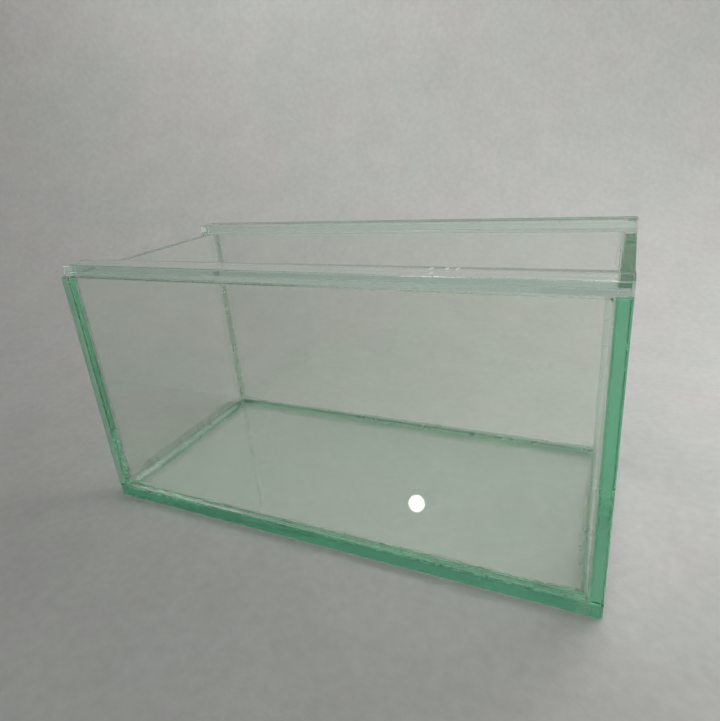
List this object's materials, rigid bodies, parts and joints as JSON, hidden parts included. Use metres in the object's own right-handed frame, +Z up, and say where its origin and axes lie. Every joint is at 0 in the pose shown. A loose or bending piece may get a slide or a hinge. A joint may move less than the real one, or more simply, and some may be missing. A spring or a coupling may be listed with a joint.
{
  "type": "glass aquarium tank",
  "caption": "Small rectangular all-glass aquarium tank of silicone-bonded panes on a thicker base, open on top, with flat glass bracing strips along the front and back of the rim.",
  "frame": {"origin": "centre of the underside of the base pane", "axes": "+X along the tank to the viewer's right, +Y from the front pane to the back pane, +Z up"},
  "size_m": [0.305, 0.143, 0.1606],
  "materials": {
    "glass": "polished clear float glass, green at its seamed edges",
    "silicone": "clear cured aquarium silicone, tooled smooth, slightly milky"
  },
  "bodies": {
    "root": {"base_pane": "glass", "front_pane": "glass", "back_pane": "glass", "left_pane": "glass", "right_pane": "glass", "front_top_strip": "glass", "back_top_strip": "glass", "floor_seam_front": "silicone", "floor_seam_back": "silicone", "floor_seam_left": "silicone", "floor_seam_right": "silicone", "corner_seam_front_left": "silicone", "corner_seam_front_right": "silicone", "corner_seam_back_left": "silicone", "corner_seam_back_right": "silicone", "front_strip_bond": "silicone", "back_strip_bond": "silicone"}
  },
  "joints": []
}
